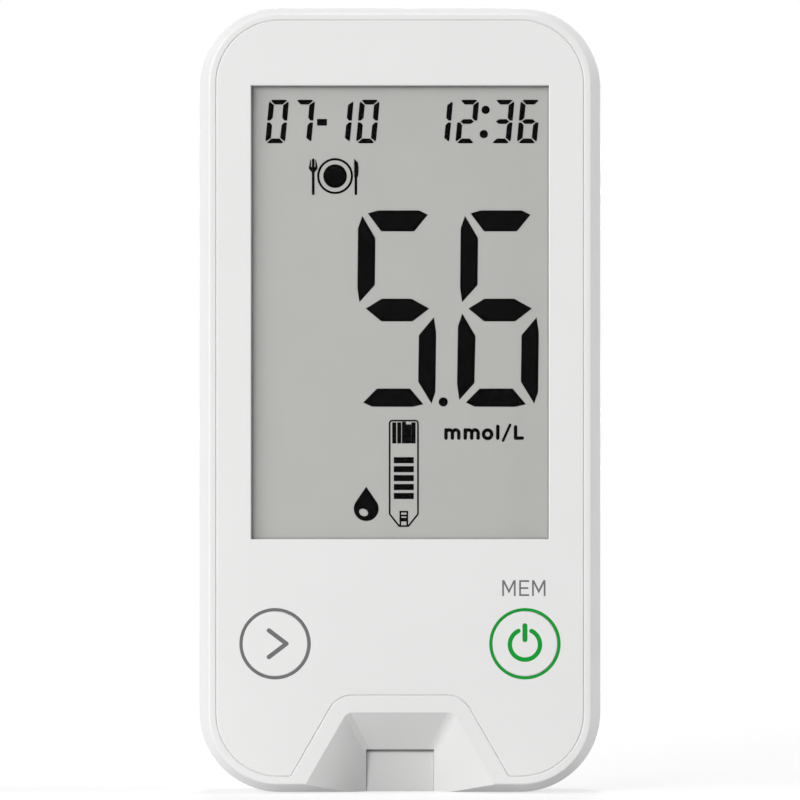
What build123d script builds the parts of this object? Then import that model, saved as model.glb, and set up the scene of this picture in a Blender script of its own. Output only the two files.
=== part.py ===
from build123d import *
import math
import os

# Blood glucose meter: a slim pocket instrument with a large segment display, two flush keys, a test
# strip port at its lower end and two coin cells behind a sliding door at its back.
#
# Millimetres. X runs to the right, Z up the meter and Y from the display face to the back. The meter
# stands on its flat lower end: Z = 0 is that end, X = 0 its middle and Y = 0 the middle of its
# thickness. "Depth" is the distance behind the front face, and front views are drawn in X and Z.

# ---------------------------------------------------------------- front face, from the lower end up
port_height = 9.82            # top edge of the strip port recess
port_to_keys = 8.28           # from there to the centres of the keys
keys_to_window = 12.6         # from there to the lower edge of the display window
window_height = 54.72
window_width = 35.92
top_border = 9.58             # from the window to the top of the body
side_border = 6.34            # from the window to the side of the body

# ---------------------------------------------------------------- shells
corner_radius = 9.7
face_inset_side = 1.26        # the side walls lean in towards the front face
face_inset_top = 0.91
face_inset_bottom = 1.12
face_corner_radius = 8.3
lean_depth = 4.6              # depth at which a leaning wall reaches the full outline
shell_wall = 1.8
back_wall = 1.6
face_edge_radius = 0.25
lean_edge_radius = 4.0
back_edge_radius = 3.5
parting_chamfer = 0.15
lip_height = 1.0              # lip of the back cover inside the front cover
lip_wall = 0.8
lip_clearance = 0.1

# ---------------------------------------------------------------- front panel
rim_side = 0.86               # width of the cover's rim that shows around the panel
rim_top = 0.79
rim_bottom = 0.96
panel_corner_radius = 7.65
panel_thickness = 0.8
panel_clearance = 0.01
groove_chamfer = 0.14
adhesive_thickness = 0.15
adhesive_inset = 0.4
plate_thickness = 1.2         # plate of the front cover that carries the panel
port_frame_top = 2.06         # frame of the cover above the strip port, up to the panel
port_frame_half_width = 7.55  # half width at the sharp upper corners of that frame
port_frame_radius = 3.26
panel_point_radius = 0.5

# ---------------------------------------------------------------- display
window_chamfer = 0.12
lens_thickness = 0.4
lens_margin = 0.9
lens_clearance = 0.05
adhesive_from_window = 0.24
gasket_thickness = 0.2
gasket_inside_window = 0.22
polarizer_thickness = 0.2
polarizer_overlap = 1.0       # beyond the window on each side
glass_thickness = 0.55
glass_border = 0.5            # beyond the polarizer on each side
contact_ledge = 2.6           # front glass standing past the rear glass at the lower end
glass_clearance = 0.2
reflector_thickness = 0.2
segment_film = 0.02
holder_plate = 0.7
holder_wall = 1.2
holder_height = 2.55
zebra_thickness = 1.8
zebra_width = 34.0
zebra_clearance = 0.1

# ---------------------------------------------------------------- keys and their switches
key_from_side = 9.23
key_radius = 3.93
key_gap = 0.03
ring_line = 0.35
ink_depth = 0.04
key_travel = 0.3
key_edge_radius = 0.12
key_skin = 1.0
key_core_radius = 1.5
key_core_wall = 0.7
flange_overlap = 0.6          # square flange beyond the round head of the key
flange_thickness = 0.6
flange_corner_radius = 0.8
flange_rest_gap = 0.05
guide_clearance = 0.1
guide_wall = 0.9
guide_height = 1.25
switch_width = 4.5
switch_chamfer = 0.4
switch_arm_width = 3.4
switch_plate = 0.15
switch_floor = 0.3
plunger_radius = 1.2
plunger_clearance = 0.06
plunger_collar = 0.4          # beyond the pin, trapped under the switch's cover plate
collar_thickness = 0.35
collar_gap = 0.05
pressed_gap = 0.15            # from the fully pressed plunger to the flattened dome
dome_clearance = 0.1
dome_rise = 0.35
dome_thickness = 0.08

# ---------------------------------------------------------------- strip port
port_half_width = 6.42        # half width at the sharp upper corners of the recess
port_side_angle = 29.9        # of the recess and of its frame, from upright
slot_height = 5.22            # mouth of the strip slot above the lower end
slot_half_width = 4.09
slot_gap = 0.9
slot_to_board = 0.5
port_wall = 1.5
port_blend_radius = 1.8       # between the recess's back wall and its right side facet
port_corner_chamfer = 0.4     # and its left one
ramp_fall = 1.5
ramp_end_gap = 0.2            # from the upper edge of the ramp to the slot's mouth
ramp_step = 0.5               # the ramp steps back by this much above that edge
ramp_edge_radius = 0.33
ramp_clearance = 0.035
ramp_ear = 0.8
ramp_ear_bottom = 2.0
ramp_ear_top = 4.6
ramp_ear_thickness = 0.8
ramp_shelf = 1.2
connector_wall = 2.1
connector_length = 11.5
connector_front = 1.3         # connector wall in front of the strip slot
connector_chamfer = 0.3
strip_depth = 8.0             # length of the strip slot inside the connector
spring_room_depth = 0.8       # room for the springs in front of the strip slot
spring_room_start = 1.0       # above the lower end of the connector
spring_room_wall = 0.8        # left at the upper end of the connector
contact_count = 5
contact_pitch = 1.3
contact_width = 0.6
contact_sheet = 0.15
contact_clearance = 0.05
contact_foot_slot = 1.2       # opening for the springs' feet, next to the upper end wall
contact_run_front = 0.45      # level run of a spring in front of the strip slot
contact_run = 3.0
contact_slope = 3.5
contact_reach = 0.35          # of a spring into the strip slot
contact_lip = 1.1
contact_lip_front = 0.2

# ---------------------------------------------------------------- circuit board
board_thickness = 1.0
board_clearance = 0.2
component_space = 2.7
board_to_parting = 0.8
# Packaged circuits: length, breadth, height and the pitch of the leads.
microcontroller_package = (10.0, 10.0, 1.4, 0.8)
memory_package = (4.9, 3.9, 1.5, 1.0)
front_end_package = (6.5, 4.4, 1.1, 0.65)
regulator_package = (2.9, 1.6, 1.1, 0.95)
microcontroller_leads = 12    # on each of two sides, as for the next three
memory_leads = 4
front_end_leads = 8
regulator_leads = 3
package_chamfer = 0.15
pin_one_radius = 0.3
pin_one_inset = 0.8
pin_one_depth = 0.08
lead_reach = 0.8              # of a lead beyond its package
lead_root = 0.1               # of a lead inside its package
lead_thickness = 0.18
crystal_size = (3.2, 1.5, 0.9)
crystal_rounding = 0.15
component_size = (1.6, 0.8)
component_chamfer = 0.08
component_count = 4
component_pitch = 2.0
capacitor_height = 0.8
resistor_height = 0.45
thermistor_height = 0.6
memory_x = 12.5
regulator_from_spring = 4.0
crystal_drop = 8.0            # below the row of the main chips, as the next three are
capacitor_drop = 18.0
front_end_drop = 25.0
resistor_drop = 31.0

# ---------------------------------------------------------------- cells, their bay and its door
cell_diameter = 20.0
cell_thickness = 3.2
cell_spacing = 1.0
cell_clearance = 0.25
cell_from_top = 10.0
cell_sheet = 0.25
cell_cap_margin = 1.1
cell_cap_step = 0.35
bay_floor = 0.8
spring_height = 0.6
cell_to_door = 0.1
door_below_cells = 4.0
door_width = 23.2
door_flange = 1.0
door_flange_thickness = 0.9
door_thickness = 1.9
door_clearance = 0.1
rail_wall = 1.4
grip_ridges = 6
grip_pitch = 1.5
grip_groove = 0.7
grip_half_width = 6.5
grip_depth = 0.4
grip_from_end = 4.0
arrow_size = 2.4
pad_thickness = 0.5
pad_width = 12.0
pad_margin = 5.0
pad_corner_radius = 1.25
battery_sheet = 0.3
spring_clearance = 0.2
leg_from_centre = 5.0         # leg of a negative spring below the centre of its cell
bend_from_centre = 2.0        # below the centre, where the spring starts to rise
tip_from_centre = 3.0         # above the centre, where it meets the cell
negative_spring_half = 1.4
positive_spring_half = 2.0
positive_leg_gap = 1.0        # from the side of the cell to the upright leg of the spring
positive_flare = 0.4

# ---------------------------------------------------------------- fasteners
case_screw_radius = 1.0
case_screw_length = 8.0
case_head_radius = 1.9
case_head_height = 1.3
case_screw_side_low = 6.7
case_screw_low = 8.0
case_screw_side_high = 7.8
case_screw_high = 4.6
case_head_depth = 2.0         # from the back face down to the top of the head
board_screw_radius = 0.8
board_screw_length = 3.0
board_head_radius = 1.5
board_head_height = 0.7
board_screw_x = 6.0
thread_clearance = 0.02
thread_end_gap = 0.3
hole_clearance = 0.1
boss_wall = 1.0
# Proportions of a pan-head screw, as shares of its own head and shank.
head_rounding = 0.4           # of the head's height
tip_chamfer = 0.4             # of the shank's radius
cross_length = 1.1            # of the head's radius
cross_width = 0.28
cross_floor = 0.4             # of the head's height

# ---------------------------------------------------------------- worked out: heights and widths
key_height = port_height + port_to_keys
window_bottom = key_height + keys_to_window
window_top = window_bottom + window_height
window_half = window_width / 2
body_height = window_top + top_border
body_half = window_half + side_border
key_x = body_half - key_from_side
face_half = body_half - face_inset_side
panel_half = face_half - rim_side
panel_bottom = face_inset_bottom + rim_bottom
panel_top = body_height - face_inset_top - rim_top

# ---------------------------------------------------------------- worked out: depths
plate_front = panel_thickness + adhesive_thickness
plate_back = plate_front + plate_thickness
polarizer_front = plate_front + gasket_thickness
front_glass_front = polarizer_front + polarizer_thickness
rear_glass_front = front_glass_front + glass_thickness
reflector_front = rear_glass_front + glass_thickness
holder_front = reflector_front + reflector_thickness
board_front = holder_front + holder_height
board_back = board_front + board_thickness
parting_depth = board_back + board_to_parting
bay_floor_front = board_back + component_space
bay_floor_back = bay_floor_front + bay_floor
cell_front = bay_floor_back + spring_height
cell_back = cell_front + cell_thickness
door_front = cell_back + cell_to_door
body_thickness = door_front + door_thickness
slot_back = board_front - slot_to_board
slot_front = slot_back - slot_gap
switch_height = collar_gap + collar_thickness + key_travel + pressed_gap + dome_rise + switch_floor
dome_radius = plunger_radius + plunger_collar

OPEN_SIDE = 1.0               # how far a cut runs past the surface that it opens


# ---------------------------------------------------------------- drawing helpers
def front_plane(depth):
    """Plane at a depth, seen from the front: sketches on it are drawn in X and Z."""
    return Plane(origin=(0, depth - body_thickness / 2, 0), x_dir=(1, 0, 0), z_dir=(0, -1, 0))


def layer(sketch, near, far):
    """Solid between two depths with a front-view outline."""
    return extrude(front_plane(far) * sketch, amount=far - near)


def side_bar(sketch, half_width, x=0.0):
    """Solid across X with a side-view outline, drawn in depth and Z."""
    plane = Plane(origin=(x - half_width, -body_thickness / 2, 0), x_dir=(0, 1, 0), z_dir=(1, 0, 0))
    return extrude(plane * sketch, amount=2 * half_width)


def top_bar(sketch, half_length, z):
    """Solid along Z about a height with a top-view outline, drawn in X and depth."""
    plane = Plane(origin=(0, -body_thickness / 2, z - half_length), x_dir=(1, 0, 0), z_dir=(0, 0, 1))
    return extrude(plane * sketch, amount=2 * half_length)


def box_between(left, right, bottom, top):
    """Front-view rectangle from its four sides."""
    return Pos((left + right) / 2, (bottom + top) / 2) * Rectangle(right - left, top - bottom)


def rounded_box(half_width, bottom, top, radius):
    """Front-view rounded rectangle, symmetric about X = 0."""
    return Pos(0, (bottom + top) / 2) * RectangleRounded(2 * half_width, top - bottom, radius)


def disc(x, z, radius):
    """Front-view circle about a point."""
    return Pos(x, z) * Circle(radius)


def outline_of(points):
    """Filled polygon through points, in the order given."""
    return make_face(Polyline(*points, close=True))


def stroke(points, line_width):
    """Line of even width with round ends along a run of points."""
    drawn = Sketch()
    for start, end in zip(points, points[1:]):
        run = Vector(*end) - Vector(*start)
        middle = (Vector(*start) + Vector(*end)) / 2
        turn = math.degrees(math.atan2(run.Y, run.X))
        drawn += Pos(middle.X, middle.Y) * Rot(0, 0, turn) * SlotCenterToCenter(run.length, line_width)
    return drawn


def mirrored(points, flip_x, flip_z):
    """Points mirrored left to right, top to bottom, or both."""
    return [(-x if flip_x else x, -z if flip_z else z) for x, z in points]


# ---------------------------------------------------------------- outlines that several pieces share
def body_outline():
    return rounded_box(body_half, 0, body_height, corner_radius)


def face_outline():
    return rounded_box(face_half, face_inset_bottom, body_height - face_inset_top, face_corner_radius)


def cavity_outline(inset=0.0):
    """Inside of the shells' side walls."""
    wall = shell_wall + inset
    return rounded_box(body_half - wall, wall, body_height - wall, corner_radius - wall)


def window_outline(grow=0.0):
    return box_between(-window_half - grow, window_half + grow, window_bottom - grow, window_top + grow)


def port_section(corner_x, corner_z, bottom, grow=0.0):
    """Trapezoid of the port: level top edge, straight sides spreading downwards."""
    slope = math.tan(math.radians(port_side_angle))
    reach = grow / math.cos(math.radians(port_side_angle))
    top = corner_z + grow
    top_x = corner_x + reach - grow * slope
    bottom_x = top_x + (top - bottom) * slope
    return outline_of([(-top_x, top), (top_x, top), (bottom_x, bottom), (-bottom_x, bottom)])


def port_frame_outline(grow=0.0):
    """Frame of the front cover around the port, which the panel is cut out for."""
    frame = port_section(port_frame_half_width, port_height + port_frame_top, -OPEN_SIDE, grow)
    upper_corners = frame.vertices().sort_by(Axis.Y)[-2:]
    return fillet(upper_corners, port_frame_radius + grow)


def panel_outline(grow=0.0):
    """Panel with its port cut-out; a positive grow gives the pocket that it drops into."""
    radius = panel_corner_radius + grow
    plain = rounded_box(panel_half + grow, panel_bottom - grow, panel_top + grow, radius)
    outline = plain - port_frame_outline(-grow)
    points = outline.vertices().filter_by(lambda v: v.Y < panel_bottom - grow + 0.01)
    inner_points = points.sort_by(lambda v: abs(v.X))[:2]
    return fillet(inner_points, panel_point_radius)


def key_centres():
    return {"next": (-key_x, key_height), "power": (key_x, key_height)}


def case_screw_places():
    low_x = body_half - case_screw_side_low
    high_x = body_half - case_screw_side_high
    high_z = body_height - case_screw_high
    return [(-low_x, case_screw_low), (low_x, case_screw_low), (-high_x, high_z), (high_x, high_z)]


def board_screw_places():
    low_z = glass_bottom() - holder_wall - glass_clearance - board_post_radius() - hole_clearance
    high_z = glass_top() + glass_clearance + holder_wall + board_post_radius() + hole_clearance
    return [(-board_screw_x, low_z), (board_screw_x, low_z), (0, high_z)]


def board_post_radius():
    return board_screw_radius + boss_wall


def glass_half():
    return window_half + polarizer_overlap + glass_border


def glass_top():
    return window_top + polarizer_overlap + glass_border


def rear_glass_bottom():
    return window_bottom - polarizer_overlap - glass_border


def glass_bottom():
    return rear_glass_bottom() - contact_ledge


def zebra_middle():
    return glass_bottom() + contact_ledge / 2


def cell_heights():
    upper = body_height - cell_from_top - cell_diameter / 2
    return {"lower": upper - cell_diameter - cell_spacing, "upper": upper}


def door_bottom():
    return cell_heights()["lower"] - cell_diameter / 2 - door_below_cells


# ---------------------------------------------------------------- outer forms of the two shells
def front_form():
    """Front shell as a full block: leaning walls, then an upright band down to the parting line."""
    face = front_plane(0) * face_outline()
    full = front_plane(lean_depth) * body_outline()
    form = loft([face, full], ruled=True) + layer(body_outline(), lean_depth, parting_depth)
    turn = form.edges().filter_by(lambda e: abs(e.center().Y - (lean_depth - body_thickness / 2)) < 0.01)
    form = fillet(turn, lean_edge_radius)
    front_edges = form.faces().sort_by(Axis.Y)[0].outer_wire().edges()
    form = fillet(front_edges, face_edge_radius)
    parting_edges = form.faces().sort_by(Axis.Y)[-1].outer_wire().edges()
    return chamfer(parting_edges, parting_chamfer)


def back_form():
    """Back shell as a full block with its rounded back edge."""
    form = layer(body_outline(), parting_depth, body_thickness)
    form = fillet(form.faces().sort_by(Axis.Y)[-1].outer_wire().edges(), back_edge_radius)
    return chamfer(form.faces().sort_by(Axis.Y)[0].outer_wire().edges(), parting_chamfer)


# ---------------------------------------------------------------- strip port
def ramp_outline():
    """Side view of the ramp: it climbs from the lower end to the slot's mouth and steps back there."""
    edge_height = slot_height - ramp_end_gap
    inner_end = slot_height + port_wall
    outline = outline_of([
        (slot_back + ramp_fall, 0),
        (slot_back, edge_height),
        (slot_back + ramp_step, edge_height),
        (slot_back + ramp_step, inner_end),
        (parting_depth, inner_end),
        (parting_depth, 0),
    ])
    upper_edge = outline.vertices().sort_by(Axis.X)[0]
    # The rounding ends before the step beside it does.
    widest = ramp_step * math.tan(math.atan2(edge_height, ramp_fall) / 2) - ramp_clearance
    return fillet(upper_edge, min(ramp_edge_radius, widest))


def port_cut():
    """Space taken out of the front cover: sloping back wall, two side facets, slot and ramp channel."""
    depth_per_height = slot_front / (port_height - slot_height)
    rise = OPEN_SIDE / depth_per_height
    spread = (port_half_width - slot_half_width) * OPEN_SIDE / slot_front
    mouth = front_plane(-OPEN_SIDE) * port_section(port_half_width + spread, port_height + rise, -OPEN_SIDE)
    lip = front_plane(slot_front) * port_section(slot_half_width, slot_height, -OPEN_SIDE)
    upper = loft([mouth, lip], ruled=True)
    back_slope = upper.faces().sort_by(Axis.Z)[-1]
    upper = fillet(back_slope.edges().sort_by(Axis.X)[-1], port_blend_radius)
    back_slope = upper.faces().sort_by(Axis.Z)[-1]
    upper = chamfer(back_slope.edges().sort_by(Axis.X)[0], port_corner_chamfer)
    # Below the lip the side facets carry on in their own planes until they meet the ramp channel.
    angle = math.radians(port_side_angle)
    side_shift = (port_half_width - slot_half_width) * math.cos(angle)
    side_shift += (port_height - slot_height) * math.sin(angle)
    depth_per_shift = slot_front / side_shift
    facet_end = slot_front + slot_height * math.sin(angle) * depth_per_shift
    low = front_plane(facet_end) * port_section(slot_half_width, 0, -OPEN_SIDE)
    lower = loft([lip, low], ruled=True)
    channel = layer(
        box_between(-slot_half_width, slot_half_width, -OPEN_SIDE, slot_height),
        slot_front - OPEN_SIDE / 2,
        parting_depth + OPEN_SIDE,
    )
    slot = layer(
        box_between(-slot_half_width, slot_half_width, 0, slot_height + port_wall + OPEN_SIDE),
        slot_front,
        parting_depth + OPEN_SIDE,
    )
    ear_half = slot_half_width + ramp_ear + ramp_clearance
    ears = layer(
        box_between(-ear_half, ear_half, ramp_ear_bottom - ramp_clearance, ramp_ear_top + ramp_clearance),
        parting_depth - ramp_ear_thickness - ramp_clearance,
        parting_depth + OPEN_SIDE,
    )
    recess = upper + lower
    return recess + channel + slot + ears


def port_block(wall=port_wall):
    """Walls of the port inside the front cover, before the port itself is cut."""
    front = front_plane(0) * port_section(port_half_width, port_height, -OPEN_SIDE, wall)
    lip = front_plane(slot_front) * port_section(slot_half_width, slot_height, -OPEN_SIDE, wall)
    walls = loft([front, lip], ruled=True)
    tail = port_section(slot_half_width, slot_height, -OPEN_SIDE, wall)
    return walls + layer(tail, slot_front, parting_depth + OPEN_SIDE)


def strip_ramp():
    ramp = side_bar(ramp_outline(), slot_half_width - ramp_clearance)
    ear_half = slot_half_width + ramp_ear
    ears = layer(
        box_between(-ear_half, ear_half, ramp_ear_bottom, ramp_ear_top),
        parting_depth - ramp_ear_thickness,
        parting_depth,
    )
    return ramp + ears


def connector_half():
    return slot_half_width + connector_wall


def connector_bottom():
    return slot_height + port_wall + board_clearance


def contact_places():
    return row_places(contact_count, contact_pitch)


def strip_connector_body():
    bottom = connector_bottom()
    top = bottom + connector_length
    half = connector_half()
    body = layer(box_between(-half, half, bottom, top), slot_front - connector_front, board_front)
    body = chamfer(body.edges().filter_by(Axis.Z).sort_by(Axis.Y)[:2], connector_chamfer)
    body -= port_block(port_wall + board_clearance)
    slot = box_between(-slot_half_width, slot_half_width, bottom - OPEN_SIDE, bottom + strip_depth)
    body -= layer(slot, slot_front, slot_back)
    room_half = contact_places()[-1] + contact_width
    room_top = top - spring_room_wall
    spring_room = box_between(-room_half, room_half, bottom + spring_room_start, room_top)
    body -= layer(spring_room, slot_front - spring_room_depth, slot_front + slot_gap / 2)
    foot_half = contact_width / 2 + contact_clearance
    for x in contact_places():
        foot_slot = box_between(x - foot_half, x + foot_half, room_top - contact_foot_slot, room_top)
        body -= layer(foot_slot, slot_front, board_front + OPEN_SIDE)
    return body


def strip_contacts():
    """Row of leaf springs that reach down into the strip slot from the front of it."""
    foot_z = connector_bottom() + connector_length - spring_room_wall - contact_foot_slot / 2
    run_depth = slot_front - contact_run_front
    bend_z = foot_z - contact_run
    touch_z = bend_z - contact_slope
    route = [
        (board_front - contact_sheet / 2, foot_z),
        (run_depth, foot_z),
        (run_depth, bend_z),
        (slot_front + contact_reach, touch_z),
        (slot_front - contact_lip_front, touch_z - contact_lip),
    ]
    leaf = stroke(route, contact_sheet)
    return Compound(children=[side_bar(leaf, contact_width / 2, x) for x in contact_places()])


# ---------------------------------------------------------------- front cover, panel and print
def front_cover():
    cover = front_form() - layer(panel_outline(panel_clearance), -OPEN_SIDE, plate_front)
    pocket_edges = cover.faces().sort_by(Axis.Y)[0].inner_wires()[0].edges()
    cover = chamfer(pocket_edges, groove_chamfer)
    cavity = layer(cavity_outline(), plate_back, parting_depth + OPEN_SIDE) - port_block()
    for place in case_screw_places():
        cavity -= layer(disc(*place, case_screw_radius + boss_wall), plate_back, parting_depth + OPEN_SIDE)
    for place in board_screw_places():
        cavity -= layer(disc(*place, board_post_radius()), plate_back, board_front)
    for x, z in key_centres().values():
        outer = flange_half() + guide_clearance + guide_wall
        inner = flange_half() + guide_clearance
        guide = Pos(x, z) * (Rectangle(2 * outer, 2 * outer) - Rectangle(2 * inner, 2 * inner))
        cavity -= layer(guide, plate_back, plate_back + guide_height)
    cover -= cavity
    grow = glass_clearance
    display_opening = box_between(
        -glass_half() - grow, glass_half() + grow, glass_bottom() - grow, glass_top() + grow
    )
    cover -= layer(display_opening, plate_front - OPEN_SIDE / 2, plate_back + OPEN_SIDE / 2)
    for place in key_centres().values():
        cover -= layer(disc(*place, key_radius + 2 * key_gap), -OPEN_SIDE, plate_back + OPEN_SIDE / 2)
    for place in case_screw_places():
        pilot = disc(*place, case_screw_radius + thread_clearance)
        cover -= layer(pilot, screw_tip_depth() - thread_end_gap, parting_depth + OPEN_SIDE)
    for place in board_screw_places():
        pilot = disc(*place, board_screw_radius + thread_clearance)
        cover -= layer(pilot, board_back - board_screw_length - thread_end_gap, board_front + OPEN_SIDE)
    return cover - port_cut()


def flange_half():
    return key_radius + flange_overlap


def screw_tip_depth():
    return body_thickness - case_head_depth - case_head_height - case_screw_length


def front_panel():
    panel = layer(panel_outline(), 0, panel_thickness)
    front_edges = panel.faces().sort_by(Axis.Y)[0].outer_wire().edges()
    panel = chamfer(front_edges, groove_chamfer)
    panel -= layer(window_outline(), -OPEN_SIDE, panel_thickness + OPEN_SIDE)
    front_face = panel.faces().sort_by(Axis.Y)[0]
    panel = chamfer(front_face.inner_wires()[0].edges(), window_chamfer)
    rebate = window_outline(lens_margin + lens_clearance)
    panel -= layer(rebate, panel_thickness - lens_thickness, panel_thickness + OPEN_SIDE)
    for x, z in key_centres().values():
        panel -= layer(disc(x, z, key_radius + key_gap), -OPEN_SIDE, panel_thickness + OPEN_SIDE)
        panel -= layer(disc(x, z, key_radius + key_gap + ring_line), -OPEN_SIDE, ink_depth)
    return panel


def key_ring(name):
    """Coloured line printed on the panel around a key."""
    x, z = key_centres()[name]
    inner = key_radius + key_gap
    return layer(disc(x, z, inner + ring_line) - disc(x, z, inner), 0, ink_depth)


def panel_adhesive():
    outline = panel_outline(-adhesive_inset) - window_outline(adhesive_from_window)
    for place in key_centres().values():
        outline -= disc(*place, key_radius + key_gap + adhesive_inset)
    return layer(outline, panel_thickness, plate_front)


# ---------------------------------------------------------------- display stack
def display_lens():
    return layer(window_outline(lens_margin), panel_thickness - lens_thickness, panel_thickness)


def display_gasket():
    frame = window_outline(polarizer_overlap) - window_outline(-gasket_inside_window)
    return layer(frame, plate_front, polarizer_front)


def lcd_front_polarizer():
    return layer(window_outline(polarizer_overlap), polarizer_front, front_glass_front)


def lcd_front_glass():
    plate = box_between(-glass_half(), glass_half(), glass_bottom(), glass_top())
    return layer(plate, front_glass_front, rear_glass_front)


def lcd_rear_glass():
    plate = box_between(-glass_half(), glass_half(), rear_glass_bottom(), glass_top())
    return layer(plate, rear_glass_front, reflector_front)


def lcd_reflector():
    return layer(window_outline(polarizer_overlap), reflector_front, holder_front)


def holder_half():
    return glass_half() + glass_clearance + holder_wall


def lcd_holder():
    """Frame that stands on the board, with a tray for the glass and a slit for the zebra strip."""
    grow = glass_clearance + holder_wall
    bottom = glass_bottom() - grow
    top = glass_top() + grow
    front = plate_back + panel_clearance
    holder = layer(rounded_box(holder_half(), bottom, top, holder_wall), front, board_front)
    inner = glass_half() + glass_clearance
    tray = box_between(-inner, inner, glass_bottom() - glass_clearance, glass_top() + glass_clearance)
    holder -= layer(tray, front - OPEN_SIDE, holder_front)
    hollow = box_between(-inner, inner, rear_glass_bottom() + holder_wall, glass_top())
    holder -= layer(hollow, holder_front + holder_plate, board_front + OPEN_SIDE)
    slit = Pos(0, zebra_middle()) * Rectangle(
        zebra_width + 2 * zebra_clearance, zebra_thickness + 2 * zebra_clearance
    )
    return holder - layer(slit, holder_front - OPEN_SIDE, board_front + OPEN_SIDE)


def zebra_connector():
    strip = Pos(0, zebra_middle()) * Rectangle(zebra_width, zebra_thickness)
    return layer(strip, rear_glass_front, board_front)


# ---------------------------------------------------------------- what the display shows
# Segments that make up each figure: top, middle and bottom bars, and upper and lower, left and right.
FIGURES = {
    "0": ("top", "upper_left", "upper_right", "lower_left", "lower_right", "bottom"),
    "1": ("upper_right", "lower_right"),
    "2": ("top", "upper_right", "middle", "lower_left", "bottom"),
    "3": ("top", "upper_right", "middle", "lower_right", "bottom"),
    "5": ("top", "upper_left", "middle", "lower_right", "bottom"),
    "6": ("top", "upper_left", "middle", "lower_left", "lower_right", "bottom"),
    "7": ("top", "upper_right", "lower_right"),
}

# Segments of a small figure about its middle, before it is slanted.
SMALL_BAR = [(-0.9, 2.52), (-0.75, 2.585), (0.75, 2.585), (0.9, 2.52), (0.475, 2.1), (-0.475, 2.1)]
SMALL_SIDE = [(-1.156, 0.16), (-1.156, 2.17), (-1.095, 2.34), (-0.6, 1.96), (-0.615, 0.46), (-0.88, 0.16)]
SMALL_SEGMENTS = {
    "top": SMALL_BAR,
    "bottom": mirrored(SMALL_BAR, False, True),
    "middle": [(-0.74, 0), (-0.44, 0.24), (0.44, 0.24), (0.74, 0), (0.44, -0.24), (-0.44, -0.24)],
    "upper_left": SMALL_SIDE,
    "upper_right": mirrored(SMALL_SIDE, True, False),
    "lower_left": mirrored(SMALL_SIDE, False, True),
    "lower_right": mirrored(SMALL_SIDE, True, True),
}

# Segments of a large figure about its middle; they are drawn as they stand, with pointed ends.
LARGE_SEGMENTS = {
    "top": [(-3.38, 11.47), (-2.21, 11.81), (2.74, 11.81), (3.72, 11.32), (2.12, 9.37), (-1.81, 9.37)],
    "upper_left": [(-4.11, 11.09), (-2.59, 8.5), (-2.65, 2.87), (-4.44, 0.88), (-4.67, 2.45), (-4.6, 9.69)],
    "middle": [(-3.63, 0), (-1.75, 1.15), (1.81, 1.15), (3.88, 0), (1.93, -1.5), (-1.8, -1.5)],
    "lower_left": [
        (-4.44, -0.71), (-2.9, -3.32), (-3.03, -8.97), (-4.78, -10.93), (-5.04, -9.07), (-4.93, -2.17),
    ],
    "lower_right": [
        (4.49, -1.16), (4.75, -2.88), (4.66, -10.05), (4.22, -11.37), (2.67, -8.81), (2.75, -3.23),
    ],
    "bottom": [
        (-3.94, -11.33), (-2.33, -9.7), (1.62, -9.7), (3.16, -11.53), (1.97, -11.82), (-2.94, -11.8),
    ],
}

segment_spread = 0.045        # a lit segment darkens this far past its drawn outline
small_slant = 5.3             # degrees that the small figures lean to the right
small_row_from_top = 4.29     # middle of the small figures below the window's upper edge
small_pitch = 3.15
date_start = -14.84           # middle of the first figure of the date
date_second = -7.03           # middle of the first figure after the dash
time_start = 4.97
time_second = 12.39
dash_middle = -9.42
dash_size = (1.19, 0.8)
dash_rise = -0.09
colon_radius = 0.5
colon_upper = (10.34, 1.41)   # from the middle of the row
colon_lower = (10.12, -1.52)
large_from_bottom = 27.84     # middle of the large figures above the window's lower edge
large_start = -0.43
large_pitch = 12.4
point_radius = 0.55
point_place = (5.22, 16.57)   # decimal point, above the window's lower edge
plate_place = (-7.84, 43.84)
plate_radius = 2.17
plate_line = 0.27
plate_disc_radius = 1.43
fork_x = -10.48
knife_x = -5.33
cutlery_top = 45.93
cutlery_bottom = 41.55
handle_width = 0.32
fork_half_width = 0.52
fork_neck_drop = 1.65         # below the top of the sign, as the next drops are
fork_shoulder_drop = 1.22
tine_root_drop = 1.0
tine_tip_drop = 0.12
tine_tip_outer = 0.35
tine_inner = 0.26
blade_spine = 0.21            # from the middle of the handle to the straight back of the blade
blade_edge = 0.24             # and to the foot of its edge
blade_belly = 0.33
blade_belly_drop = 1.1
blade_shoulder = 0.24         # where the short slope from the tip ends
blade_shoulder_drop = 0.42
blade_length = 2.22
drop_place = (-4.08, 3.68)
drop_radius = 1.5
drop_tip = 2.65
drop_shine_place = (-0.32, -0.46)
drop_shine_size = (0.56, 0.42)
drop_shine_turn = -25.0
strip_place = 0.46            # middle of the strip sign
strip_top = 14.41             # its top above the window's lower edge
strip_half_width = 1.81
strip_side_length = 11.42
strip_taper_length = 1.52
strip_tip_half_width = 0.6
strip_corner_radius = 0.42
strip_line = 0.2
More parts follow.
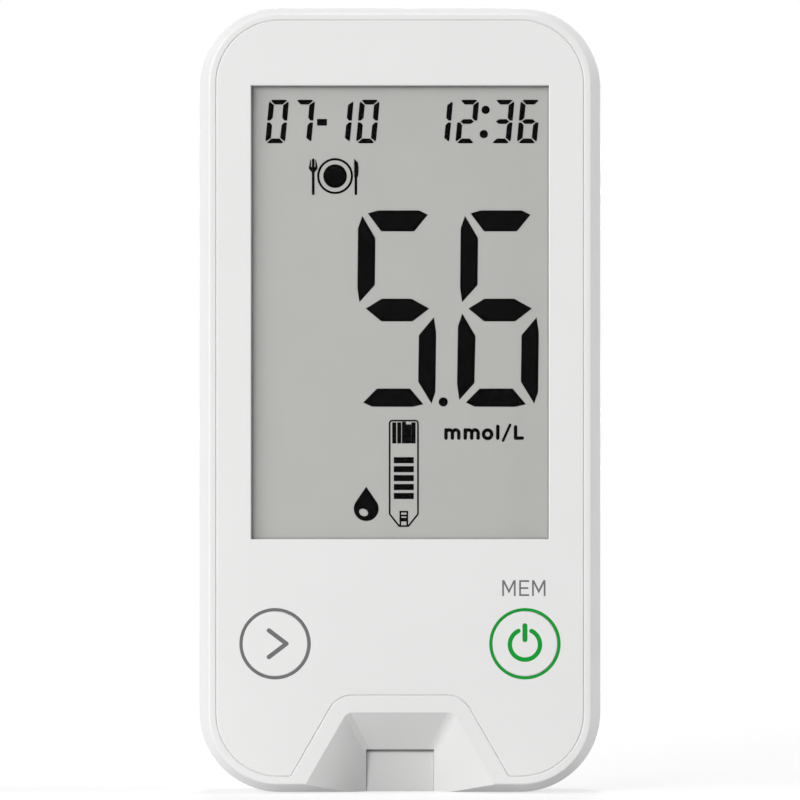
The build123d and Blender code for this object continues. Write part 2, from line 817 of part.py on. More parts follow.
# Left and right sides of the strip sign's contacts, bars and marks, from its middle.
STRIP_CONTACTS = [(-1.4, -0.91), (-0.8, -0.31), (0.9, 1.42)]
STRIP_WIDE_CONTACT = (-0.23, 0.89)
strip_narrow_end = 0.26       # right side of the narrow end above the wide contact
STRIP_BAR = (-1.21, 1.2)
strip_contact_drop = 0.31     # contacts below the top of the sign
strip_contact_length = 2.54
strip_wide_drop = 0.24        # wide contact below the others
strip_narrow_rise = 0.08      # its narrow end above the others
strip_bar_count = 5
strip_bar_drop = 4.51         # first bar below the top of the sign
strip_bar_height = 0.74
strip_bar_pitch = 1.08
well_half_width = 0.52
well_height = 1.94            # from the tip of the strip
well_mark_half_width = 0.4
WELL_MARKS = [(0.46, 0.67), (0.83, 1.28)]   # tops and bottoms below the top of the well


def segment(points):
    """Dark field of one lit segment."""
    return offset(outline_of(points), segment_spread, kind=Kind.INTERSECTION)


def small_figure(figure, x, z):
    """One slanted figure of the date or time."""
    slant = math.tan(math.radians(small_slant))
    bars = []
    for name in FIGURES[figure]:
        points = [(x + px + pz * slant, z + pz) for px, pz in SMALL_SEGMENTS[name]]
        bars.append(segment(points))
    return bars


def large_figure(figure, x, z):
    """One upright figure of the reading."""
    return [segment([(x + px, z + pz) for px, pz in LARGE_SEGMENTS[name]]) for name in FIGURES[figure]]


def film(outlines):
    """Thin dark film of the lit segments, in front of the polarizer where they are seen."""
    return [layer(outline, polarizer_front - segment_film, polarizer_front) for outline in outlines]


def lcd_segments():
    row = window_top - small_row_from_top
    figures = [("0", date_start), ("7", date_start + small_pitch), ("1", date_second)]
    figures += [("0", date_second + small_pitch), ("1", time_start), ("2", time_start + small_pitch)]
    figures += [("3", time_second), ("6", time_second + small_pitch)]
    outlines = []
    for figure, x in figures:
        outlines += small_figure(figure, x, row)
    outlines.append(Pos(dash_middle, row + dash_rise) * Rectangle(*dash_size))
    for x, rise in (colon_upper, colon_lower):
        outlines.append(disc(x, row + rise, colon_radius))
    large_row = window_bottom + large_from_bottom
    outlines += large_figure("5", large_start, large_row)
    outlines += large_figure("6", large_start + large_pitch, large_row)
    outlines.append(disc(point_place[0], window_bottom + point_place[1], point_radius))
    return Compound(children=film(outlines))


def meal_sign():
    """Plate between a fork and a knife: the mark for a reading taken at a meal."""
    x, rise = plate_place
    z = window_bottom + rise
    ring = disc(x, z, plate_radius) - disc(x, z, plate_radius - plate_line)
    food = disc(x, z, plate_disc_radius)
    top = window_bottom + cutlery_top
    bottom = window_bottom + cutlery_bottom
    handle_end = bottom + handle_width / 2
    fork = stroke([(fork_x, handle_end), (fork_x, top - tine_tip_drop)], handle_width)
    fork += outline_of([
        (fork_x - fork_half_width, top - tine_root_drop),
        (fork_x - fork_half_width, top - fork_shoulder_drop),
        (fork_x - handle_width / 2, top - fork_neck_drop),
        (fork_x + handle_width / 2, top - fork_neck_drop),
        (fork_x + fork_half_width, top - fork_shoulder_drop),
        (fork_x + fork_half_width, top - tine_root_drop),
    ])
    for side in (-1, 1):
        fork += outline_of([
            (fork_x + side * fork_half_width, top - tine_root_drop),
            (fork_x + side * tine_tip_outer, top - tine_tip_drop),
            (fork_x + side * tine_inner, top - tine_tip_drop),
            (fork_x + side * tine_inner, top - tine_root_drop),
        ])
    knife = stroke([(knife_x, handle_end), (knife_x, top - blade_length)], handle_width)
    spine = knife_x - blade_spine
    heel = knife_x + blade_edge
    belly = (knife_x + blade_belly, top - blade_belly_drop)
    shoulder = (knife_x + blade_shoulder, top - blade_shoulder_drop)
    blade_bow = ThreePointArc(shoulder, belly, (heel, top - blade_length))
    blade_back = Polyline((heel, top - blade_length), (spine, top - blade_length), (spine, top), shoulder)
    knife += make_face([blade_bow, blade_back])
    return [ring, food, fork, knife]


def drop_sign():
    """Drop of blood with a shine in its lower left."""
    x, rise = drop_place
    z = window_bottom + rise
    tangent = math.asin(drop_radius / drop_tip)
    side = (drop_radius * math.cos(tangent), drop_radius * math.sin(tangent))
    drop = disc(x, z, drop_radius)
    drop += outline_of([(x - side[0], z + side[1]), (x, z + drop_tip), (x + side[0], z + side[1]), (x, z)])
    shine = Rot(0, 0, drop_shine_turn) * Ellipse(*drop_shine_size)
    return [drop - Pos(x + drop_shine_place[0], z + drop_shine_place[1]) * shine]


def strip_sign():
    """Test strip with its contacts at the top and its sampling window at the tip."""
    x = strip_place
    top = window_bottom + strip_top
    side_end = top - strip_side_length
    tip = side_end - strip_taper_length
    outer = outline_of([
        (x - strip_half_width, top), (x + strip_half_width, top), (x + strip_half_width, side_end),
        (x + strip_tip_half_width, tip), (x - strip_tip_half_width, tip), (x - strip_half_width, side_end),
    ])
    outer = fillet(outer.vertices().sort_by(Axis.Y)[-2:], strip_corner_radius)
    outline = outer - offset(outer, -strip_line, kind=Kind.INTERSECTION)
    contact_top = top - strip_contact_drop
    contact_bottom = contact_top - strip_contact_length
    contacts = Sketch()
    for left, right in STRIP_CONTACTS:
        contacts += box_between(x + left, x + right, contact_bottom, contact_top)
    left, right = STRIP_WIDE_CONTACT
    contacts += box_between(x + left, x + right, contact_bottom, contact_top - strip_wide_drop)
    contacts += box_between(x + left, x + strip_narrow_end, contact_bottom, contact_top + strip_narrow_rise)
    bars = []
    left, right = STRIP_BAR
    for index in range(strip_bar_count):
        bar_top = top - strip_bar_drop - index * strip_bar_pitch
        bars.append(box_between(x + left, x + right, bar_top - strip_bar_height, bar_top))
    well_top = tip + well_height
    inner_half = well_half_width - strip_line
    well = box_between(x - well_half_width, x + well_half_width, tip + strip_line, well_top)
    well -= box_between(x - inner_half, x + inner_half, tip + strip_line, well_top - strip_line)
    for mark_top, mark_bottom in WELL_MARKS:
        well += box_between(
            x - well_mark_half_width, x + well_mark_half_width, well_top - mark_bottom, well_top - mark_top
        )
    return [outline + well] + contacts.faces() + bars


def lcd_icons():
    return Compound(children=film(meal_sign() + drop_sign() + strip_sign()))


# ---------------------------------------------------------------- keys
chevron_tip = 1.37
chevron_tail = -0.74
chevron_rise = 1.6
legend_line = 0.54
power_radius = 1.82
power_gap_angle = 25.5        # half of the gap at the top of the power ring
power_bar_width = 0.61
power_bar_top = 2.58
power_bar_bottom = 0.28
power_drop = 0.1              # middle of the power ring below the middle of the key


def next_legend_outline(x, z):
    tail = x + chevron_tail
    return stroke([(tail, z + chevron_rise), (x + chevron_tip, z), (tail, z - chevron_rise)], legend_line)


def power_legend_outline(x, z):
    middle = z - power_drop
    ring = disc(x, middle, power_radius + legend_line / 2) - disc(x, middle, power_radius - legend_line / 2)
    angle = math.radians(power_gap_angle)
    reach = 2 * power_radius
    side = reach * math.sin(angle)
    rise = reach * math.cos(angle)
    gap = outline_of([(x, middle), (x - side, middle + rise), (x + side, middle + rise)])
    ring -= gap
    for turn in (-1, 1):
        end_x = x + turn * power_radius * math.sin(angle)
        ring += disc(end_x, middle + power_radius * math.cos(angle), legend_line / 2)
    end = power_bar_width / 2
    bar = stroke([(x, middle + power_bar_bottom + end), (x, middle + power_bar_top - end)], power_bar_width)
    return ring + bar


LEGENDS = {"next": next_legend_outline, "power": power_legend_outline}


def key_flange_front():
    return plate_back + flange_rest_gap


def key_back():
    return key_flange_front() + flange_thickness


def key_cap(name):
    """Round head flush with the panel, on a square flange that is trapped behind the cover plate."""
    x, z = key_centres()[name]
    head = layer(disc(x, z, key_radius), 0, key_flange_front())
    head = fillet(head.faces().sort_by(Axis.Y)[0].edges(), key_edge_radius)
    side = 2 * flange_half()
    flange = Pos(x, z) * RectangleRounded(side, side, flange_corner_radius)
    cap = head + layer(flange, key_flange_front(), key_back())
    core = disc(x, z, key_radius - key_core_wall) - disc(x, z, key_core_radius)
    cap -= layer(core, key_skin, key_back() + OPEN_SIDE)
    return cap - layer(LEGENDS[name](x, z), -OPEN_SIDE, ink_depth)


def key_legend(name):
    legend = layer(LEGENDS[name](*key_centres()[name]), 0, ink_depth)
    return Compound(children=legend.solids()) if len(legend.solids()) > 1 else legend


def switch_front():
    return board_front - switch_height


def switch_base(name):
    x, z = key_centres()[name]
    body = layer(Pos(x, z) * Rectangle(switch_width, switch_width), switch_front(), board_front)
    body = chamfer(body.edges().filter_by(Axis.Y), switch_chamfer)
    bore = disc(x, z, dome_radius + dome_clearance)
    return body - layer(bore, switch_front() - OPEN_SIDE, dome_seat())


def dome_seat():
    return board_front - switch_floor


def switch_cover(name):
    """Metal plate over the switch, with two arms folded down its sides to the board."""
    x, z = key_centres()[name]
    half = switch_width / 2
    plate = Pos(x, z) * Rectangle(switch_width, switch_arm_width)
    plate -= disc(x, z, plunger_radius + plunger_clearance)
    cover = layer(plate, switch_front() - switch_plate, switch_front())
    for side in (-1, 1):
        arm = Pos(x + side * (half + switch_plate / 2), z) * Rectangle(switch_plate, switch_arm_width)
        cover += layer(arm, switch_front() - switch_plate, board_front)
    return cover


def switch_dome(name):
    """Snap disc, shown as it lies when the key is fully pressed."""
    x, z = key_centres()[name]
    sphere_radius = (dome_radius ** 2 + dome_rise ** 2) / (2 * dome_rise)
    seat = front_plane(dome_seat())
    centre = Pos(x, z, dome_rise - sphere_radius)
    shell = seat * centre * (Sphere(sphere_radius) - Sphere(sphere_radius - dome_thickness))
    return shell & layer(disc(x, z, dome_radius), dome_seat() - dome_rise - OPEN_SIDE, dome_seat())


def switch_plunger(name):
    x, z = key_centres()[name]
    collar_front = switch_front() + collar_gap
    collar_back = collar_front + collar_thickness
    pin = layer(disc(x, z, plunger_radius), key_back(), collar_back)
    return pin + layer(disc(x, z, plunger_radius + plunger_collar), collar_front, collar_back)


# ---------------------------------------------------------------- circuit board and what it carries
def board_bottom():
    return connector_bottom()


def circuit_board():
    inset = lip_clearance + lip_wall + board_clearance
    outline = cavity_outline(inset)
    cut_top = board_bottom()
    outline -= box_between(-2 * body_half, 2 * body_half, -OPEN_SIDE, cut_top)
    for place in case_screw_places():
        outline -= disc(*place, case_screw_radius + boss_wall + board_clearance)
    for place in board_screw_places():
        outline -= disc(*place, board_screw_radius + hole_clearance)
    return layer(outline, board_front, board_back)


def chip(x, z, package, leads):
    """Packaged circuit on the back of the board, with leads on its two long sides."""
    length, breadth, tall, lead_pitch = package
    top = board_back + tall
    body = layer(Pos(x, z) * Rectangle(breadth, length), board_back, top)
    body = chamfer(body.faces().sort_by(Axis.Y)[-1].edges(), package_chamfer)
    # The package lies on the back, so its first pin is at the upper right from the front.
    pin_one = disc(x + breadth / 2 - pin_one_inset, z + length / 2 - pin_one_inset, pin_one_radius)
    body -= layer(pin_one, top - pin_one_depth, top + OPEN_SIDE)
    lead_offset = breadth / 2 + (lead_reach - lead_root) / 2
    for side in (-1, 1):
        for lead_z in row_places(leads, lead_pitch, z):
            lead = Pos(x + side * lead_offset, lead_z) * Rectangle(lead_reach + lead_root, lead_pitch / 2)
            body += layer(lead, board_back, board_back + lead_thickness)
    return body


def row_places(count, pitch, middle=0.0):
    """Evenly spaced places about a middle."""
    return [middle + (index - (count - 1) / 2) * pitch for index in range(count)]


def chip_row():
    """Height of the main chips, midway between the legs of the two battery springs."""
    lower, upper = cell_heights().values()
    return (leg_z(lower) + leg_z(upper)) / 2


def microcontroller():
    return chip(0, chip_row(), microcontroller_package, microcontroller_leads)


def memory_chip():
    return chip(memory_x, chip_row(), memory_package, memory_leads)


def analog_front_end():
    return chip(0, chip_row() - front_end_drop, front_end_package, front_end_leads)


def voltage_regulator():
    return chip(contact_x() - regulator_from_spring, chip_row(), regulator_package, regulator_leads)


def clock_crystal():
    length, breadth, tall = crystal_size
    can = Pos(memory_x, chip_row() - crystal_drop) * RectangleRounded(length, breadth, 2 * crystal_rounding)
    body = layer(can, board_back, board_back + tall)
    return fillet(body.faces().sort_by(Axis.Y)[-1].edges(), crystal_rounding)


def small_component(x, z, tall):
    body = layer(Pos(x, z) * Rectangle(*component_size), board_back, board_back + tall)
    return chamfer(body.edges().filter_by(Axis.Y), component_chamfer)


def component_row(drop, tall):
    """Row of small two-ended components across the board."""
    z = chip_row() - drop
    places = row_places(component_count, component_pitch)
    return Compound(children=[small_component(x, z, tall) for x in places])


def board_capacitors():
    return component_row(capacitor_drop, capacitor_height)


def board_resistors():
    return component_row(resistor_drop, resistor_height)


def thermistor():
    return small_component(key_x, key_height - switch_width, thermistor_height)


# ---------------------------------------------------------------- back cover and battery bay
def rail_half():
    return door_width / 2 + door_flange + door_clearance


def bay_pocket():
    """Front-view outline of the two round seats for the cells, joined along the middle."""
    radius = cell_diameter / 2 + cell_clearance
    lower, upper = cell_heights().values()
    seats = disc(0, lower, radius) + disc(0, upper, radius)
    return seats + box_between(-radius / 2, radius / 2, lower, upper)


def contact_x():
    return -cell_diameter / 2 - positive_leg_gap


def leg_z(cell_z):
    return cell_z - leg_from_centre


def back_cover():
    cavity = layer(cavity_outline(), parting_depth - OPEN_SIDE, body_thickness - back_wall)
    bay_half = rail_half() + rail_wall
    bay_bottom = door_bottom() - door_clearance - rail_wall
    cavity -= layer(
        box_between(-bay_half, bay_half, bay_bottom, body_height), bay_floor_front, body_thickness
    )
    boss_radius = case_head_radius + hole_clearance + boss_wall
    for place in case_screw_places():
        cavity -= layer(disc(*place, boss_radius), parting_depth, body_thickness)
    shelf_half = slot_half_width + ramp_ear
    shelf = box_between(-shelf_half, shelf_half, 0, slot_height + port_wall)
    cavity -= layer(shelf, parting_depth, parting_depth + ramp_shelf)
    cover = back_form() - cavity

    rail_bottom = door_bottom() - door_clearance
    flange_back = door_front + door_flange_thickness + door_clearance
    neck_half = door_width / 2 + door_clearance
    beyond = body_height + OPEN_SIDE
    rails = box_between(-rail_half(), rail_half(), rail_bottom, beyond)
    cover -= layer(rails, door_front - door_clearance / 2, flange_back)
    neck = box_between(-neck_half, neck_half, rail_bottom, beyond)
    cover -= layer(neck, door_front, body_thickness + OPEN_SIDE)
    cover -= layer(bay_pocket(), bay_floor_back, door_front)
    leg_half = negative_spring_half + spring_clearance
    upright_half = battery_sheet / 2 + spring_clearance
    side_half = positive_spring_half + spring_clearance
    for z in cell_heights().values():
        leg = box_between(-leg_half, leg_half, leg_z(z) - upright_half, leg_z(z) + upright_half)
        side_room = box_between(contact_x() - upright_half, 0, z - side_half, z + side_half)
        side_slot = box_between(
            contact_x() - upright_half, contact_x() + upright_half, z - side_half, z + side_half
        )
        cover -= layer(side_room, bay_floor_back, door_front)
        cover -= layer(leg + side_slot, bay_floor_front - OPEN_SIDE, bay_floor_back + OPEN_SIDE / 2)

    seat = body_thickness - case_head_depth - case_head_height
    for place in case_screw_places():
        head_hole = disc(*place, case_head_radius + hole_clearance)
        shank_hole = disc(*place, case_screw_radius + hole_clearance)
        cover -= layer(head_hole, seat, body_thickness + OPEN_SIDE)
        cover -= layer(shank_hole, parting_depth - OPEN_SIDE, body_thickness)
    return cover + back_cover_lip()


def back_cover_lip():
    """Lip that locates the back cover inside the front one, left out at the port and the screw bosses."""
    spread = (port_height + port_wall) * math.tan(math.radians(port_side_angle))
    port_half = port_half_width + port_wall + spread
    at_port = box_between(-port_half, port_half, 0, port_height)
    inside = cavity_outline(lip_clearance + lip_wall)
    lip = cavity_outline(lip_clearance) - inside - at_port
    for place in case_screw_places():
        lip -= disc(*place, case_screw_radius + boss_wall + board_clearance)
    # The lip's root reaches into the back cover's wall, so that the two are one solid.
    root = cavity_outline(-lip_clearance) - inside - at_port
    lip_solid = layer(lip, parting_depth - lip_height, parting_depth)
    return lip_solid + layer(root, parting_depth, parting_depth + lip_wall)


def door_form():
    """Door with its two flanges, cut to the shell's own rounded upper end."""
    plate = box_between(-door_width / 2, door_width / 2, door_bottom(), body_height + OPEN_SIDE)
    flange_half_width = door_width / 2 + door_flange
    flange = box_between(-flange_half_width, flange_half_width, door_bottom(), body_height + OPEN_SIDE)
    solid = layer(plate, door_front, body_thickness)
    solid += layer(flange, door_front, door_front + door_flange_thickness)
    return solid & back_form()


def battery_door():
    door = door_form()
    for index in range(grip_ridges):
        z = door_bottom() + grip_from_end + index * grip_pitch
        groove = Pos(0, z) * SlotOverall(2 * grip_half_width, grip_groove)
        door -= layer(groove, body_thickness - grip_depth, body_thickness + OPEN_SIDE)
    arrow_z = door_bottom() + grip_from_end + grip_ridges * grip_pitch + arrow_size / 2
    half = arrow_size / 2
    arrow = outline_of([(-half, arrow_z - half), (half, arrow_z - half), (0, arrow_z + half)])
    door -= layer(arrow, body_thickness - grip_depth, body_thickness + OPEN_SIDE)
    return door - layer(pad_outline(), door_front - OPEN_SIDE, door_front + pad_thickness)


def pad_outline():
    lower, upper = cell_heights().values()
    reach = cell_diameter / 2 - pad_margin
    return rounded_box(pad_width / 2, lower - reach, upper + reach, pad_corner_radius)


def door_pressure_pad():
    return layer(pad_outline(), door_front, door_front + pad_thickness)


# ---------------------------------------------------------------- cells and their contacts
def cell_can(name):
    """Positive cup, open towards the circuit board."""
    z = cell_heights()[name]
    radius = cell_diameter / 2
    can = layer(disc(0, z, radius), cell_front + cell_cap_step, cell_back)
    can = fillet(can.faces().sort_by(Axis.Y)[-1].edges(), cell_sheet)
    return can - layer(disc(0, z, radius - cell_sheet), cell_front, cell_back - cell_sheet)


def cell_cap(name):
    """Negative cap with the cell's filling."""
    z = cell_heights()[name]
    cap = layer(disc(0, z, cell_diameter / 2 - cell_cap_margin), cell_front, cell_back - cell_sheet)
    return fillet(cap.faces().sort_by(Axis.Y)[0].edges(), cell_sheet)


def cell_gasket(name):
    z = cell_heights()[name]
    ring = disc(0, z, cell_diameter / 2 - cell_sheet) - disc(0, z, cell_diameter / 2 - cell_cap_margin)
    return layer(ring, cell_front + cell_cap_step, cell_back - cell_sheet)


def battery_negative_contacts():
    """Leaf springs on the floor of the bay, each with a leg through it to the board."""
    springs = []
    foot = bay_floor_back + battery_sheet / 2
    tip = cell_front - battery_sheet / 2
    for z in cell_heights().values():
        route = [
            (board_back + battery_sheet / 2, leg_z(z)),
            (foot, leg_z(z)),
            (foot, z - bend_from_centre),
            (tip, z + tip_from_centre),
        ]
        springs.append(side_bar(stroke(route, battery_sheet), negative_spring_half))
    return Compound(children=springs)


def battery_positive_contacts():
    """Springs beside the cells that press on the side of each can."""
    springs = []
    touch_x = -cell_diameter / 2 - battery_sheet / 2
    for z in cell_heights().values():
        route = [
            (contact_x(), board_back + battery_sheet / 2),
            (contact_x(), cell_front + cell_thickness / 3),
            (touch_x, cell_front + cell_thickness * 2 / 3),
            (touch_x - positive_flare, cell_back - battery_sheet),
        ]
        springs.append(top_bar(stroke(route, battery_sheet), positive_spring_half, z))
    return Compound(children=springs)


# ---------------------------------------------------------------- fasteners
def screw(x, z, head_depth, head_radius, head_height, shank_radius, shank_length):
    """Pan-head screw driven from the back, with its cross recess."""
    head = layer(disc(x, z, head_radius), head_depth, head_depth + head_height)
    head = fillet(head.faces().sort_by(Axis.Y)[-1].edges(), head_height * head_rounding)
    shank = layer(disc(x, z, shank_radius), head_depth - shank_length, head_depth)
    shank = chamfer(shank.faces().sort_by(Axis.Y)[0].edges(), shank_radius * tip_chamfer)
    arm = Rectangle(head_radius * cross_length, head_radius * cross_width)
    cross = Pos(x, z) * (arm + Rot(0, 0, 90) * arm)
    recess = layer(cross, head_depth + head_height * cross_floor, head_depth + head_height + OPEN_SIDE)
    return head + shank - recess


def case_screws():
    depth = body_thickness - case_head_depth - case_head_height
    sizes = (case_head_radius, case_head_height, case_screw_radius, case_screw_length)
    return Compound(children=[screw(x, z, depth, *sizes) for x, z in case_screw_places()])


def board_screws():
    sizes = (board_head_radius, board_head_height, board_screw_radius, board_screw_length)
    return Compound(children=[screw(x, z, board_back, *sizes) for x, z in board_screw_places()])


# ---------------------------------------------------------------- all the pieces, by the name of their node
PIECES = {
    "front_cover": front_cover,
    "front_panel": front_panel,
    "panel_adhesive": panel_adhesive,
    "display_lens": display_lens,
    "display_gasket": display_gasket,
    "lcd_front_polarizer": lcd_front_polarizer,
    "lcd_segments": lcd_segments,
    "lcd_icons": lcd_icons,
    "lcd_front_glass": lcd_front_glass,
    "lcd_rear_glass": lcd_rear_glass,
    "lcd_reflector": lcd_reflector,
    "lcd_holder": lcd_holder,
    "zebra_connector": zebra_connector,
    "circuit_board": circuit_board,
    "microcontroller": microcontroller,
    "memory_chip": memory_chip,
    "analog_front_end": analog_front_end,
    "voltage_regulator": voltage_regulator,
    "clock_crystal": clock_crystal,
    "board_capacitors": board_capacitors,
    "board_resistors": board_resistors,
    "thermistor": thermistor,
    "board_screws": board_screws,
    "strip_connector_body": strip_connector_body,
    "strip_contacts": strip_contacts,
    "strip_ramp": strip_ramp,
    "back_cover": back_cover,
    "case_screws": case_screws,
    "battery_negative_contacts": battery_negative_contacts,
    "battery_positive_contacts": battery_positive_contacts,
    "battery_door": battery_door,
    "door_pressure_pad": door_pressure_pad,
}

KEY_PIECES = {
    "key_ring": key_ring,
    "key_cap": key_cap,
    "key_legend": key_legend,
    "switch_plunger": switch_plunger,
    "switch_base": switch_base,
    "switch_cover": switch_cover,
    "switch_dome": switch_dome,
}

CELL_PIECES = {
    "cell_can": cell_can,
    "cell_cap": cell_cap,
    "cell_gasket": cell_gasket,
}

os.makedirs("parts", exist_ok=True)
for node, make in PIECES.items():
    export_step(make(), f"parts/{node}.step")
for key in key_centres():
    for node, make in KEY_PIECES.items():
        export_step(make(key), f"parts/{key}_{node}.step")
for cell in cell_heights():
    for node, make in CELL_PIECES.items():
        export_step(make(cell), f"parts/{cell}_{node}.step")
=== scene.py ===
import math

import bmesh
import bpy
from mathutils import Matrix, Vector


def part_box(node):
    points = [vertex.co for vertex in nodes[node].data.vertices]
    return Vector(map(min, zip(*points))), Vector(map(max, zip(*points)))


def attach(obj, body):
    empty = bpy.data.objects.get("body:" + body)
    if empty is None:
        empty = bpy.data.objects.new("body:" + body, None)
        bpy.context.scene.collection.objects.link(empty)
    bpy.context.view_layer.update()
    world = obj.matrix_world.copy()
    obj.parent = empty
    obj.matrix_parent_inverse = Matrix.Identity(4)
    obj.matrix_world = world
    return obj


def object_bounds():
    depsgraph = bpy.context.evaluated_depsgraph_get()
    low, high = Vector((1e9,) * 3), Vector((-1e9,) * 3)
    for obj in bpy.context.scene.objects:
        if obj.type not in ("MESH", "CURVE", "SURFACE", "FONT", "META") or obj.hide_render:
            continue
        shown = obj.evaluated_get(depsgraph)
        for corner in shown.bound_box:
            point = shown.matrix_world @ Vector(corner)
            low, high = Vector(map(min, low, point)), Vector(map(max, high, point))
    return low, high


# Blood glucose meter: materials, printed words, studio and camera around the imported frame.
# Everything is in metres in the frame's own axes: X right, Y from the display face to the back, Z up.
# Only the outlines of the printed words are in millimetres, until each of them is a solid.

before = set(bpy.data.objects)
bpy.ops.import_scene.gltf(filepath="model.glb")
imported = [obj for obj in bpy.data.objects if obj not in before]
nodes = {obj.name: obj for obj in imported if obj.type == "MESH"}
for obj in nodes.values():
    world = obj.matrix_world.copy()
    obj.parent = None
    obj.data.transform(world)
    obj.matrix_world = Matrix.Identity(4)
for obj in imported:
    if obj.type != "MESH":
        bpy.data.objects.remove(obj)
cad_low, cad_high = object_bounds()

MM = 0.001
MICRON = 0.001 * MM


def grey(value):
    """Opaque grey, as a colour socket takes it."""
    return (value, value, value, 1.0)


def tint(colour, factor):
    """A colour made darker or lighter by a factor."""
    return tuple(min(1.0, channel * factor) for channel in colour)


# ---------------------------------------------------------------- shader helper
WHOLE_SPAN = (0.0, 1.0)
NOISE_SPAN = (0.3, 0.7)       # nearly all values of a noise lie in here
WAVE_RADIANS = 20             # Blender's wave texture turns this far for each unit of its scale


class Shader:
    """One material: its node tree, its main shader and the object's own coordinates."""

    def __init__(self, name):
        self.material = bpy.data.materials.new(name)
        self.material.use_nodes = True
        self.tree = self.material.node_tree
        self.main = self.tree.nodes["Principled BSDF"]
        self.place = self.add("ShaderNodeTexCoord").outputs["Object"]

    def add(self, kind, **settings):
        node = self.tree.nodes.new(kind)
        for key, value in settings.items():
            setattr(node, key, value)
        return node

    def link(self, output, socket):
        self.tree.links.new(output, socket)

    def set(self, **values):
        """Even numbers and colours, on the main shader's own sockets."""
        for key, value in values.items():
            self.main.inputs[key.replace("_", " ")].default_value = value

    def stretched(self, scale, origin=(0, 0, 0)):
        """Coordinates about an origin in metres, scaled per axis."""
        mapping = self.add("ShaderNodeMapping", vector_type="POINT")
        mapping.inputs["Location"].default_value = [-o * s for o, s in zip(origin, scale)]
        mapping.inputs["Scale"].default_value = scale
        self.link(self.place, mapping.inputs["Vector"])
        return mapping.outputs["Vector"]

    def noise(self, grain, detail=2.0, vector=None):
        """Noise from 0 to 1 whose features are about one grain wide, in metres."""
        node = self.add("ShaderNodeTexNoise")
        node.inputs["Scale"].default_value = 1 / grain
        node.inputs["Detail"].default_value = detail
        self.link(vector or self.place, node.inputs["Vector"])
        return node.outputs["Fac"]

    def cells(self, grain, feature="F1", vector=None):
        """Distances within a pattern of cells that are about one grain wide, in metres."""
        node = self.add("ShaderNodeTexVoronoi", feature=feature)
        node.inputs["Scale"].default_value = 1 / grain
        self.link(vector or self.place, node.inputs["Vector"])
        return node.outputs["Distance"]

    def waves(self, pitch, kind="BANDS", direction="X", vector=None):
        """Bands or rings from 0 to 1, one for each pitch in metres."""
        node = self.add("ShaderNodeTexWave", wave_type=kind)
        if kind == "BANDS":
            node.bands_direction = direction
        else:
            node.rings_direction = direction
        node.inputs["Scale"].default_value = 2 * math.pi / pitch / WAVE_RADIANS
        self.link(vector or self.place, node.inputs["Vector"])
        return node.outputs["Fac"]

    def plus_share(self, base, other, share, **settings):
        """A base value with a share of another one added."""
        node = self.add("ShaderNodeMath", operation="MULTIPLY_ADD", **settings)
        self.link(other, node.inputs[0])
        node.inputs[1].default_value = share
        self.link(base, node.inputs[2])
        return node.outputs["Value"]

    def spread(self, value, low, high, span=WHOLE_SPAN):
        """A value that runs over a span, made to run from low to high."""
        node = self.add("ShaderNodeMapRange")
        start, end = span
        for key, number in (("From Min", start), ("From Max", end), ("To Min", low), ("To Max", high)):
            node.inputs[key].default_value = number
        self.link(value, node.inputs["Value"])
        return node.outputs["Result"]

    def bump(self, height, depth, under=None):
        """Relief in which a height from 0 to 1 stands for a depth in metres, over another relief or none."""
        node = self.add("ShaderNodeBump")
        node.inputs["Distance"].default_value = depth
        self.link(height, node.inputs["Height"])
        if under:
            self.link(under, node.inputs["Normal"])
        return node.outputs["Normal"]

    def paint(self, value, first, last, span=NOISE_SPAN):
        """Colour the surface from the first colour to the last, as a value runs over a span."""
        node = self.add("ShaderNodeValToRGB")
        for element, place, colour in zip(node.color_ramp.elements, span, (first, last)):
            element.position = place
            element.color = (*colour, 1.0)
        self.link(value, node.inputs["Fac"])
        self.link(node.outputs["Color"], self.main.inputs["Base Color"])

    def mottle(self, value, colour, dark, light, span=NOISE_SPAN):
        """Colour the surface in one colour times the factors dark to light, as a value runs over a span."""
        self.paint(value, tint(colour, dark), tint(colour, light), span)

    def roughen(self, value, low, high, span=WHOLE_SPAN):
        """Set the surface's roughness from low to high, as a value runs over a span."""
        self.link(self.spread(value, low, high, span), self.main.inputs["Roughness"])

    def emboss(self, height, depth, under=None):
        """Give the surface a relief."""
        self.link(self.bump(height, depth, under), self.main.inputs["Normal"])


# ---------------------------------------------------------------- materials
WHITE = (0.79, 0.79, 0.785)
WHITE_BACK = (0.765, 0.765, 0.76)
INK_GREY = (0.165, 0.165, 0.166)
INK_GREEN = (0.004, 0.315, 0.03)
DISPLAY_GREY = (0.515, 0.515, 0.497)
FINE_MOULD = 2.2 * MICRON     # depth of the texture on the front's pieces
COARSE_MOULD = 5 * MICRON     # and on the back's


def moulded_white(name, colour, roughness=0.42, relief=FINE_MOULD):
    """White ABS with the fine eroded texture of its mould and a trace of flow and handling marks."""
    s = Shader(name)
    s.mottle(s.noise(14 * MM, detail=3), colour, dark=0.992, light=1.006)
    handled = s.noise(5 * MM, detail=4)
    s.roughen(handled, roughness - 0.05, roughness + 0.06, NOISE_SPAN)
    pores = s.bump(s.cells(0.3 * MM), depth=0.6 * relief)
    s.emboss(s.noise(0.16 * MM, detail=3), depth=relief, under=pores)
    s.set(IOR=1.53)
    return s.material


def printed_ink(name, colour):
    """Screen printed ink: a little uneven, with the faint mesh of the screen."""
    s = Shader(name)
    film = s.noise(0.5 * MM, detail=3)
    s.mottle(film, colour, dark=0.94, light=1.06)
    s.roughen(film, 0.42, 0.52)
    s.emboss(s.cells(0.12 * MM), depth=1 * MICRON)
    s.set(Specular_IOR_Level=0.1)
    return s.material


